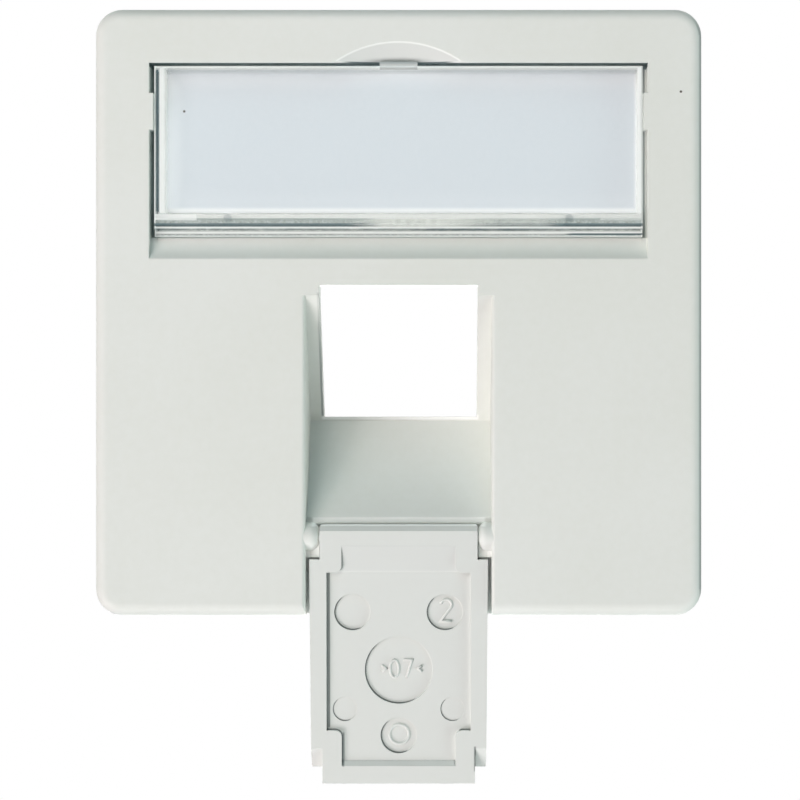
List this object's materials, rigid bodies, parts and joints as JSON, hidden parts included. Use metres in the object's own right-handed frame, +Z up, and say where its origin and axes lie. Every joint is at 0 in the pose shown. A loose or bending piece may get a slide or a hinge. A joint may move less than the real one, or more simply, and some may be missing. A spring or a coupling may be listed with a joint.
{
  "type": "data outlet centre plate",
  "caption": "Square white moulded centre plate for a data outlet, with a slanted jack port, a hinged dust flap that hangs open below it and a clear label window over a paper card.",
  "frame": {"origin": "middle of the rear rim, on the plane that meets the wall or support ring", "axes": "+Z up the plate, +X to the right seen from the front, the front faces -Y and the rear rim faces +Y"},
  "size_m": [0.05, 0.01, 0.0639],
  "materials": {
    "white_moulding": "satin moulded white",
    "clear_pane": "clear polished",
    "card_paper": "uncoated paper"
  },
  "bodies": {
    "plate": {"plate_shell": "white_moulding", "label_card": "card_paper"},
    "window": {"label_window": "clear_pane"},
    "flap": {"dust_flap": "white_moulding"}
  },
  "joints": [
    {"name": "flap_hinge", "type": "hinge", "parent": "plate", "child": "flap", "pos_m": [0, -0.00918, -0.01861], "axis": [-1, 0, 0], "range_deg": [0, 181.5]},
    {"name": "window_pull", "type": "slide", "parent": "plate", "child": "window", "axis": [0, -1, 0], "range_m": [0, 0.012]}
  ]
}
